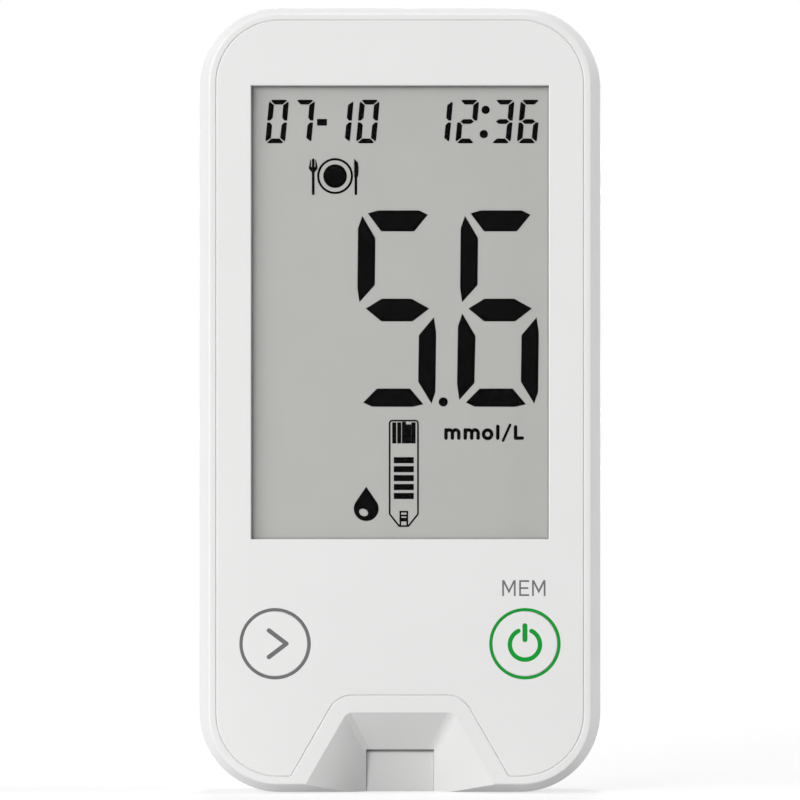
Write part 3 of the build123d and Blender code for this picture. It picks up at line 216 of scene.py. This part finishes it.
def clear_lens():
    """Clear hard-coated acrylic, which lets the display through and keeps only a faint gloss."""
    s = Shader("lens_clear_acrylic")
    s.set(Base_Color=grey(0.02), Alpha=0.035, IOR=1.49)
    wiped = s.noise(9 * MM, detail=4)
    s.roughen(wiped, 0.04, 0.09, NOISE_SPAN)
    return s.material


def polarizer_film():
    """Grey reflective display seen through its front film."""
    s = Shader("polarizer_grey_film")
    pearl = s.noise(6 * MM, detail=3)
    sparkle = s.noise(0.05 * MM, detail=1)
    both = s.plus_share(pearl, sparkle, share=0.2)
    s.mottle(both, DISPLAY_GREY, dark=0.985, light=1.015, span=(0.35, 0.85))
    s.roughen(pearl, 0.42, 0.5)
    s.emboss(sparkle, depth=0.8 * MICRON)
    return s.material


def liquid_crystal():
    """Lit segment: nearly black, with the soft bloom of the crystal layer."""
    s = Shader("segment_black")
    bloom = s.noise(1.2 * MM, detail=2)
    s.paint(bloom, (0.002, 0.0021, 0.002), (0.003, 0.0031, 0.003))
    s.roughen(bloom, 0.5, 0.6)
    s.set(Specular_IOR_Level=0.0)
    return s.material


def soft_rubber(name, colour, grain=0.35 * MM, relief=20 * MICRON):
    """Foam or rubber with open pores, each painted darker towards its pit as shade."""
    s = Shader(name)
    pores = s.cells(grain)
    # painted shade: the colour darkens towards each pore's pit, where the relief sinks
    s.mottle(pores, colour, dark=0.6, light=1.05, span=(0.0, 0.5))
    s.roughen(pores, 0.9, 0.75)
    s.emboss(pores, depth=relief)
    return s.material


def layered_rubber():
    """Zebra strip: thin conducting layers between insulating ones."""
    s = Shader("zebra_layers")
    insulating, conducting = (0.45, 0.16, 0.12), (0.02, 0.02, 0.02)
    s.paint(s.waves(0.1 * MM, direction="X"), insulating, conducting, span=(0.35, 0.65))
    s.roughen(s.noise(0.2 * MM), 0.55, 0.75)
    return s.material


def display_glass():
    """Thin display glass with its faint indium tint."""
    s = Shader("display_glass")
    s.paint(s.noise(10 * MM), (0.75, 0.82, 0.8), (0.82, 0.86, 0.83))
    s.roughen(s.noise(3 * MM), 0.02, 0.05)
    s.set(Alpha=0.3, IOR=1.52)
    return s.material


def brushed_metal(name, colour, along="Z", roughness=0.3):
    """Sheet metal with fine drawn lines along one axis."""
    s = Shader(name)
    fine, long = 12.0, 0.25
    scale = {"X": (long, fine, fine), "Z": (fine, fine, long)}[along]
    lines = s.noise(1 * MM, detail=4, vector=s.stretched(scale))
    s.mottle(lines, colour, dark=0.82, light=1.12, span=(0.25, 0.75))
    s.roughen(lines, roughness - 0.1, roughness + 0.12)
    s.emboss(lines, depth=4 * MICRON)
    s.set(Metallic=1.0)
    return s.material


def turned_metal(name, colour, centre):
    """Spun and stamped steel: fine rings about a centre, and the light scratches of handling."""
    s = Shader(name)
    rings = s.waves(0.16 * MM, kind="RINGS", direction="Y", vector=s.stretched((1, 1, 1), centre))
    scratches = s.noise(0.6 * MM, detail=5, vector=s.stretched((0.4, 1, 3), centre))
    s.mottle(scratches, colour, dark=0.9, light=1.08)
    s.roughen(scratches, 0.58, 0.7, NOISE_SPAN)
    s.emboss(rings, depth=2.5 * MICRON, under=s.bump(scratches, depth=4 * MICRON))
    s.set(Metallic=1.0)
    return s.material


def solder_mask():
    """Circuit board: green mask over copper tracks and hatched copper."""
    s = Shader("board_green_mask")
    hatch = s.waves(0.9 * MM, direction="DIAGONAL")
    tracks = s.cells(3.2 * MM, feature="DISTANCE_TO_EDGE", vector=s.stretched((1, 0.01, 1)))
    copper = s.spread(tracks, 1.0, 0.0, span=(0.04, 0.08))
    raised = s.plus_share(copper, hatch, share=0.35, use_clamp=True)
    over_board, over_copper = (0.008, 0.085, 0.03), (0.02, 0.21, 0.07)
    s.paint(raised, over_board, over_copper, span=(0.1, 0.9))
    s.roughen(s.noise(2 * MM), 0.25, 0.4)
    s.emboss(raised, depth=30 * MICRON)
    return s.material


def moulded_dark(name, colour, roughness=0.5):
    """Dark epoxy or nylon with a sandy moulded face."""
    s = Shader(name)
    sand = s.noise(0.12 * MM, detail=3)
    s.mottle(sand, colour, dark=0.8, light=1.25)
    s.roughen(sand, roughness - 0.08, roughness + 0.1)
    s.emboss(sand, depth=6 * MICRON)
    return s.material


def tape():
    """Double-sided tissue tape."""
    s = Shader("adhesive_tape")
    fibres = s.noise(0.4 * MM, detail=5, vector=s.stretched((3, 1, 0.6)))
    s.paint(fibres, (0.5, 0.5, 0.48), (0.66, 0.66, 0.64))
    s.roughen(fibres, 0.4, 0.7)
    return s.material


# ---------------------------------------------------------------- a material for each node
def case_materials():
    """The covers, the panel and what closes them."""
    return {
        "front_cover": moulded_white("shell_white_abs", WHITE),
        "front_panel": moulded_white("panel_white_abs", WHITE, roughness=0.4),
        "strip_ramp": moulded_white("ramp_white_abs", tint(WHITE, 0.96), roughness=0.38),
        "back_cover": moulded_white("back_white_abs", WHITE_BACK, roughness=0.48, relief=COARSE_MOULD),
        "panel_adhesive": tape(),
        "case_screws": brushed_metal("screw_black_steel", (0.13, 0.13, 0.135), along="X", roughness=0.52),
    }


def display_materials(crystal):
    """The window and the layers of the display behind it."""
    glass = display_glass()
    foam = soft_rubber("gasket_grey_foam", (0.45, 0.45, 0.45), grain=0.12 * MM, relief=8 * MICRON)
    return {
        "display_lens": clear_lens(),
        "display_gasket": foam,
        "lcd_front_polarizer": polarizer_film(),
        "lcd_segments": crystal,
        "lcd_icons": crystal,
        "lcd_front_glass": glass,
        "lcd_rear_glass": glass,
        "lcd_reflector": brushed_metal("reflector_silver_film", (0.7, 0.7, 0.68), along="X", roughness=0.5),
        "lcd_holder": moulded_white("holder_natural_abs", (0.7, 0.69, 0.64), roughness=0.55),
        "zebra_connector": layered_rubber(),
    }


def board_materials():
    """The circuit board, its components and its screws."""
    chip = moulded_dark("chip_black_epoxy", (0.018, 0.018, 0.02))
    return {
        "circuit_board": solder_mask(),
        "microcontroller": chip,
        "memory_chip": chip,
        "analog_front_end": chip,
        "voltage_regulator": chip,
        "clock_crystal": brushed_metal("crystal_can_steel", (0.62, 0.62, 0.62), along="X"),
        "board_capacitors": moulded_dark("capacitor_tan_ceramic", (0.36, 0.22, 0.1), roughness=0.4),
        "board_resistors": moulded_dark("resistor_black_glaze", (0.03, 0.03, 0.032), roughness=0.3),
        "thermistor": moulded_dark("thermistor_black_glaze", (0.03, 0.035, 0.03), roughness=0.3),
        "board_screws": brushed_metal("screw_zinc_steel", (0.52, 0.52, 0.53), along="X", roughness=0.34),
    }


def connector_materials(nylon):
    """The connector that takes the test strip."""
    gold = brushed_metal("spring_gold_plate", (0.83, 0.6, 0.26), roughness=0.22)
    return {"strip_connector_body": nylon, "strip_contacts": gold}


def key_materials(ink, nylon, spring):
    """Both keys with their prints and switches."""
    key_white = moulded_white("key_white_abs", WHITE, roughness=0.4)
    parts = {}
    for name, colour in ink.items():
        parts[f"{name}_key_ring"] = colour
        parts[f"{name}_key_legend"] = colour
        parts[f"{name}_key_cap"] = key_white
        parts[f"{name}_switch_plunger"] = nylon
        parts[f"{name}_switch_base"] = nylon
        parts[f"{name}_switch_cover"] = spring
        parts[f"{name}_switch_dome"] = spring
    return parts


def middle(node):
    """The centre of a node's box."""
    low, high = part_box(node)
    return (low + high) / 2


def battery_materials(nylon, spring):
    """The battery door, the cells and their contacts."""
    parts = {
        "battery_door": moulded_white("door_white_abs", WHITE_BACK, roughness=0.5, relief=COARSE_MOULD),
        "door_pressure_pad": soft_rubber("pad_black_foam", (0.035, 0.035, 0.037)),
        "battery_negative_contacts": spring,
        "battery_positive_contacts": spring,
    }
    for name in ("lower", "upper"):
        centre = middle(f"{name}_cell_can")
        steel = turned_metal(f"{name}_cell_steel", (0.31, 0.31, 0.3), centre)
        parts[f"{name}_cell_can"] = steel
        parts[f"{name}_cell_cap"] = steel
        parts[f"{name}_cell_gasket"] = nylon
    return parts


def paint_nodes(ink, crystal):
    """Give each node of the frame its own finished material."""
    nylon = moulded_dark("connector_black_nylon", (0.024, 0.024, 0.026), roughness=0.42)
    spring = brushed_metal("spring_nickel_steel", (0.63, 0.6, 0.55), roughness=0.26)
    materials = {
        **case_materials(),
        **display_materials(crystal),
        **board_materials(),
        **connector_materials(nylon),
        **key_materials(ink, nylon, spring),
        **battery_materials(nylon, spring),
    }
    for node, material in materials.items():
        nodes[node].material_slots[0].material = material


# ---------------------------------------------------------------- printed words
PRINT_PROUD = 0.006 * MM      # height of a print above the face that carries it
PRINT_SUNK = 0.004 * MM       # and its root below that face


def prism(outline, front, back):
    """Mesh between two depths with an outline in X and Z."""
    mesh = bpy.data.meshes.new("print")
    shape = bmesh.new()
    near = [shape.verts.new((x, front, z)) for x, z in outline]
    far = [shape.verts.new((x, back, z)) for x, z in outline]
    shape.faces.new(near)
    shape.faces.new(far)
    for index in range(len(outline)):
        following = (index + 1) % len(outline)
        shape.faces.new((near[index], near[following], far[following], far[index]))
    bmesh.ops.recalc_face_normals(shape, faces=shape.faces)
    shape.to_mesh(mesh)
    shape.free()
    return mesh


def fused(name, outlines, front, back, material, body):
    """One print whose overlapping outlines, in millimetres, are joined into closed solids."""
    made = None
    for outline in outlines:
        piece = bpy.data.objects.new(name, prism(outline, front / MM, back / MM))
        bpy.context.scene.collection.objects.link(piece)
        if made is None:
            made = piece
            continue
        union = made.modifiers.new("union", "BOOLEAN")
        union.operation = "UNION"
        union.solver = "EXACT"
        union.object = piece
        evaluated = made.evaluated_get(bpy.context.evaluated_depsgraph_get())
        joined = bpy.data.meshes.new_from_object(evaluated)
        made.modifiers.clear()
        made.data = joined
        bpy.data.objects.remove(piece)
    for vertex in made.data.vertices:
        vertex.co *= MM
    made.data.materials.clear()
    made.data.materials.append(material)
    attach(made, body)
    return made


def placed(outline, x, z):
    """An outline moved by x and z."""
    return [(x + px, z + pz) for px, pz in outline]


def arc(x, z, radius_x, radius_z, start, end, steps=24):
    """Points on an ellipse from one angle to another, in degrees."""
    turns = [math.radians(start + (end - start) * step / steps) for step in range(steps + 1)]
    return [(x + radius_x * math.cos(turn), z + radius_z * math.sin(turn)) for turn in turns]


def cap(point, side, steps):
    """Half circle from the left side of a line's end round to its right."""
    turns = [-math.pi * step / steps for step in range(1, steps)]
    return [
        (
            point.x + side.x * math.cos(turn) - side.y * math.sin(turn),
            point.y + side.x * math.sin(turn) + side.y * math.cos(turn),
        )
        for turn in turns
    ]


def ribbon(path, width, cap_steps=10):
    """Outline of an even line along a path, with round ends."""
    half = width / 2
    points = [Vector(point) for point in path]
    sides = []
    for index, point in enumerate(points):
        before = points[max(index - 1, 0)]
        after = points[min(index + 1, len(points) - 1)]
        along = (after - before).normalized()
        sides.append(Vector((-along.y, along.x)) * half)
    left = [point + side for point, side in zip(points, sides)]
    right = [point - side for point, side in zip(points, sides)]
    outline = [tuple(point) for point in left]
    outline += cap(points[-1], sides[-1], cap_steps)
    outline += [tuple(point) for point in reversed(right)]
    outline += cap(points[0], -sides[0], cap_steps)
    return outline


# "MEM", in millimetres from its lower left corner
CAP_HEIGHT = 1.91
CAP_STROKE = 0.215
CAP_M_WIDTH = 1.62
CAP_M_APEX = 0.25             # width of an outer corner at the top of the M
CAP_M_VERTEX = 0.29           # lowest point of its middle above the baseline
CAP_M_ROUNDS = 20             # rounds after which the thickness of its diagonals has settled
CAP_E_WIDTH = 1.2
CAP_E_MIDDLE = 1.09           # length of its middle bar
MEM_STARTS = {"first_m": 0.0, "e": 2.05, "second_m": 3.6}
MEM_ABOVE_RING = 1.45
MEM_LEFT_OF_KEY = 2.74        # from the middle of the key


def mirrored(outline, width):
    """The other half of a letter that is even on both sides, in the order that follows on."""
    return [(width - x, z) for x, z in reversed(outline)]


def capital_m():
    """M whose diagonals are as thick as its legs, measured square to them."""
    centre = CAP_M_WIDTH / 2
    run = centre - CAP_M_APEX
    thickness = CAP_STROKE
    for _ in range(CAP_M_ROUNDS):
        drop = CAP_HEIGHT - CAP_M_VERTEX - thickness
        thickness = CAP_STROKE * math.hypot(run, drop) / run
    slope = (CAP_HEIGHT - CAP_M_VERTEX - thickness) / run
    shoulder = CAP_M_VERTEX + slope * (centre - CAP_STROKE)
    left = [(0, 0), (0, CAP_HEIGHT), (CAP_M_APEX, CAP_HEIGHT)]
    left_inner = [(CAP_STROKE, shoulder), (CAP_STROKE, 0)]
    top = left + [(centre, CAP_M_VERTEX + thickness)] + mirrored(left, CAP_M_WIDTH)
    return top + mirrored(left_inner, CAP_M_WIDTH) + [(centre, CAP_M_VERTEX)] + left_inner


def capital_e():
    """E of three bars, the middle one a little shorter."""
    width, bar, line, top = CAP_E_WIDTH, CAP_E_MIDDLE, CAP_STROKE, CAP_HEIGHT
    low, high = (top - line) / 2, (top + line) / 2
    return [
        (0, 0), (0, top), (width, top), (width, top - line), (line, top - line), (line, high),
        (bar, high), (bar, low), (line, low), (line, line), (width, line), (width, 0),
    ]


def print_mem(material):
    """The word MEM on the panel, above the power key."""
    ring_low, ring_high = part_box("power_key_ring")
    x = (ring_low.x + ring_high.x) / 2 / MM - MEM_LEFT_OF_KEY
    z = ring_high.z / MM + MEM_ABOVE_RING
    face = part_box("front_panel")[0].y
    front, back = face - PRINT_PROUD, face + PRINT_SUNK
    outlines = {"first_m": capital_m(), "e": capital_e(), "second_m": capital_m()}
    for name, outline in outlines.items():
        shape = placed(outline, x + MEM_STARTS[name], z)
        fused(f"mem_{name}", [shape], front, back, material, "housing")


POLARIZER_MARGIN = 1.0 * MM   # the polarizer reaches this far past the window on each side
WINDOW_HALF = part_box("lcd_front_polarizer")[1].x - POLARIZER_MARGIN

# Unit sign "mmol/L", in millimetres from the window's lower left corner and from its own start
UNIT_START = (23.3, 11.99)
UNIT_STROKE = 0.42
SLASH_STROKE = 0.31
X_HEIGHT = 1.41
M_PITCH = 0.775               # from one leg of an m to the next
M_LEGS = 3
M_STARTS = {"first_m": 0.0, "second_m": 2.331}
O_CENTRE = (5.238, 0.677)
O_RADII = (0.492, 0.507)
L_MIDDLE = 6.47
L_TOP = 1.83
SLASH = ((7.1, -0.1), (7.95, 1.8))
CAP_L_LEFT = 8.61
CAP_L_RIGHT = 9.43
CAP_L_TOP = 1.77


def small_m(start):
    """A left leg, and two bows that each end in a leg."""
    half = UNIT_STROKE / 2
    radius = M_PITCH / 2
    spring = X_HEIGHT - half - radius
    legs = [start + half + step * M_PITCH for step in range(M_LEGS)]
    outlines = [ribbon([(legs[0], half), (legs[0], X_HEIGHT - half)], UNIT_STROKE)]
    for left, right in zip(legs, legs[1:]):
        bow = arc((left + right) / 2, spring, radius, radius, 180, 0)
        outlines.append(ribbon(bow + [(right, half)], UNIT_STROKE))
    return outlines


def unit_outlines():
    """Each letter's overlapping outlines, by its name."""
    half = UNIT_STROKE / 2
    letters = {name: small_m(start) for name, start in M_STARTS.items()}
    halves = ((90, 270), (270, 450))
    letters["o"] = [ribbon(arc(*O_CENTRE, *O_RADII, *turn), UNIT_STROKE) for turn in halves]
    letters["l"] = [ribbon([(L_MIDDLE, half), (L_MIDDLE, L_TOP - half)], UNIT_STROKE)]
    letters["slash"] = [ribbon(SLASH, SLASH_STROKE)]
    letters["capital_l"] = [
        ribbon([(CAP_L_LEFT, CAP_L_TOP - half), (CAP_L_LEFT, half)], UNIT_STROKE),
        ribbon([(CAP_L_LEFT, half), (CAP_L_RIGHT, half)], UNIT_STROKE),
    ]
    return letters


def show_unit(material):
    """The unit beside the reading, on the same film as the segments."""
    film_low, film_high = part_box("lcd_segments")
    window_left = -WINDOW_HALF / MM
    window_low = (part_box("lcd_front_polarizer")[0].z + POLARIZER_MARGIN) / MM
    x, z = window_left + UNIT_START[0], window_low + UNIT_START[1]
    for name, outlines in unit_outlines().items():
        shapes = [placed(outline, x, z) for outline in outlines]
        fused(f"unit_{name}", shapes, film_low.y, film_high.y, material, "housing")


# ---------------------------------------------------------------- studio
FLOOR_REACH = 6.0             # half the side of the floor, in metres
FLOOR_BOUNCE = 0.3            # share of the light on it that the floor throws back at the object
FLOOR_LIGHT = ((-18, 0.39), (0, 0.1), (15, 0.3), (22, 0.12))    # places across in mm, and the light there
FLOOR_SHADOW = 0.5            # share of the floor's look that still takes the object's shadow
FLOOR_GLOW = 0.56             # what the camera sees on top of it, so that the floor is white elsewhere


def lamp(name, toward, share, spread):
    """Soft lamp from a direction; its share of a full white is what it gives a face square to it."""
    light = bpy.data.lights.new(name, "SUN")
    light.energy = share * math.pi
    light.angle = math.radians(spread)
    holder = bpy.data.objects.new(name, light)
    holder.rotation_euler = Vector(toward).to_track_quat("Z", "Y").to_euler()
    bpy.context.scene.collection.objects.link(holder)


def seen_or_reflected(tree):
    """1 for what the camera sees directly, in a reflection or through glass; 0 for light on surfaces."""
    path = tree.nodes.new("ShaderNodeLightPath")
    reflected = tree.nodes.new("ShaderNodeMath")
    through = tree.nodes.new("ShaderNodeMath")
    for node in (reflected, through):
        node.operation = "MAXIMUM"
    tree.links.new(path.outputs["Is Camera Ray"], reflected.inputs[0])
    tree.links.new(path.outputs["Is Glossy Ray"], reflected.inputs[1])
    tree.links.new(reflected.outputs["Value"], through.inputs[0])
    tree.links.new(path.outputs["Is Transmission Ray"], through.inputs[1])
    return through.outputs["Value"]


def finish_tree(tree, output_kind, lighting, seen):
    """Use one shader for the light on surfaces, and another for what is seen or reflected."""
    mix = tree.nodes.new("ShaderNodeMixShader")
    output = tree.nodes.new(output_kind)
    tree.links.new(seen_or_reflected(tree), mix.inputs["Fac"])
    tree.links.new(lighting, mix.inputs[1])
    tree.links.new(seen, mix.inputs[2])
    tree.links.new(mix.outputs["Shader"], output.inputs["Surface"])


def background(ambient):
    """White for the camera and in reflections, and an even soft light on everything."""
    world = bpy.data.worlds.new("studio")
    bpy.context.scene.world = world
    world.use_nodes = True
    tree = world.node_tree
    tree.nodes.clear()
    lighting = tree.nodes.new("ShaderNodeBackground")
    lighting.inputs["Strength"].default_value = ambient
    seen = tree.nodes.new("ShaderNodeBackground")
    for node in (lighting, seen):
        node.inputs["Color"].default_value = grey(1.0)
    finish_tree(
        tree, "ShaderNodeOutputWorld", lighting.outputs["Background"], seen.outputs["Background"]
    )


def matt_with_glow(tree, shade):
    """Even grey surface that also gives off light: its shader, and the strength of that light."""
    surface = tree.nodes.new("ShaderNodeBsdfDiffuse")
    surface.inputs["Color"].default_value = grey(shade)
    glow = tree.nodes.new("ShaderNodeEmission")
    both = tree.nodes.new("ShaderNodeAddShader")
    tree.links.new(surface.outputs["BSDF"], both.inputs[0])
    tree.links.new(glow.outputs["Emission"], both.inputs[1])
    return both.outputs["Shader"], glow.inputs["Strength"]


def floor_light(tree):
    """Light that the floor gives off, like a lit table, which paints light and shade onto the object's lower
    faces: strongest to the left, weakest under the middle and low again near the right corner.
    """
    first, last = FLOOR_LIGHT[0][0], FLOOR_LIGHT[-1][0]
    place = tree.nodes.new("ShaderNodeTexCoord")
    split = tree.nodes.new("ShaderNodeSeparateXYZ")
    across = tree.nodes.new("ShaderNodeMapRange")
    across.inputs["From Min"].default_value = first * MM
    across.inputs["From Max"].default_value = last * MM
    steps = tree.nodes.new("ShaderNodeValToRGB")
    elements = steps.color_ramp.elements
    for x, _ in FLOOR_LIGHT[1:-1]:
        elements.new((x - first) / (last - first))
    for element, (_, strength) in zip(elements, FLOOR_LIGHT):
        element.color = grey(strength)
    tree.links.new(place.outputs["Object"], split.inputs["Vector"])
    tree.links.new(split.outputs["X"], across.inputs["Value"])
    tree.links.new(across.outputs["Result"], steps.inputs["Fac"])
    return steps.outputs["Color"]


def floor_material():
    """Pale and softly lit for the object; for the camera white apart from the object's shadow."""
    material = bpy.data.materials.new("floor_pale")
    material.use_nodes = True
    tree = material.node_tree
    tree.nodes.clear()
    lighting, table_light = matt_with_glow(tree, FLOOR_BOUNCE)
    tree.links.new(floor_light(tree), table_light)
    seen, seen_glow = matt_with_glow(tree, FLOOR_SHADOW)
    seen_glow.default_value = FLOOR_GLOW
    finish_tree(tree, "ShaderNodeOutputMaterial", lighting, seen)
    return material


def studio_floor():
    """Level floor under the object's lower end."""
    mesh = bpy.data.meshes.new("floor")
    corners = [(-1, -1), (1, -1), (1, 1), (-1, 1)]
    points = [(x * FLOOR_REACH, y * FLOOR_REACH, cad_low.z) for x, y in corners]
    mesh.from_pydata(points, [], [(0, 1, 2, 3)])
    floor = bpy.data.objects.new("floor", mesh)
    bpy.context.scene.collection.objects.link(floor)
    mesh.materials.append(floor_material())


CAMERA_DISTANCE = 1.0         # from the front face, in metres
CAMERA_VIEW = 96.5 * MM       # width of the front face's plane that the square picture takes in
SENSOR = 36.0                 # width of the camera's sensor, in millimetres


def camera():
    """Straight at the middle of the display face, from far enough away for very little perspective."""
    data = bpy.data.cameras.new("camera")
    data.sensor_width = SENSOR
    data.lens = SENSOR * CAMERA_DISTANCE / CAMERA_VIEW
    holder = bpy.data.objects.new("camera", data)
    centre = (cad_low + cad_high) / 2
    holder.location = (centre.x, cad_low.y - CAMERA_DISTANCE, centre.z)
    holder.rotation_euler = (math.pi / 2, 0, 0)
    bpy.context.scene.collection.objects.link(holder)
    bpy.context.scene.camera = holder


bpy.context.scene.view_settings.view_transform = "Standard"
camera()
key_inks = {"next": printed_ink("ink_grey", INK_GREY), "power": printed_ink("ink_green", INK_GREEN)}
segment_black = liquid_crystal()
paint_nodes(key_inks, segment_black)
print_mem(key_inks["next"])
show_unit(segment_black)
studio_floor()
background(ambient=0.25)
lamp("left_key", toward=(-1, -0.6, 0.35), share=0.375, spread=30)
lamp("front_key", toward=(-0.5, -1, 0.3), share=0.416, spread=30)
lamp("right_side", toward=(1, -0.12, 0.4), share=0.359, spread=20)
lamp("top_side", toward=(0, -0.12, 1), share=0.07, spread=20)
lamp("back_top", toward=(0, 0.5, 1), share=0.22, spread=10)
lamp("back_fill", toward=(0, 1, 0.02), share=0.74, spread=20)
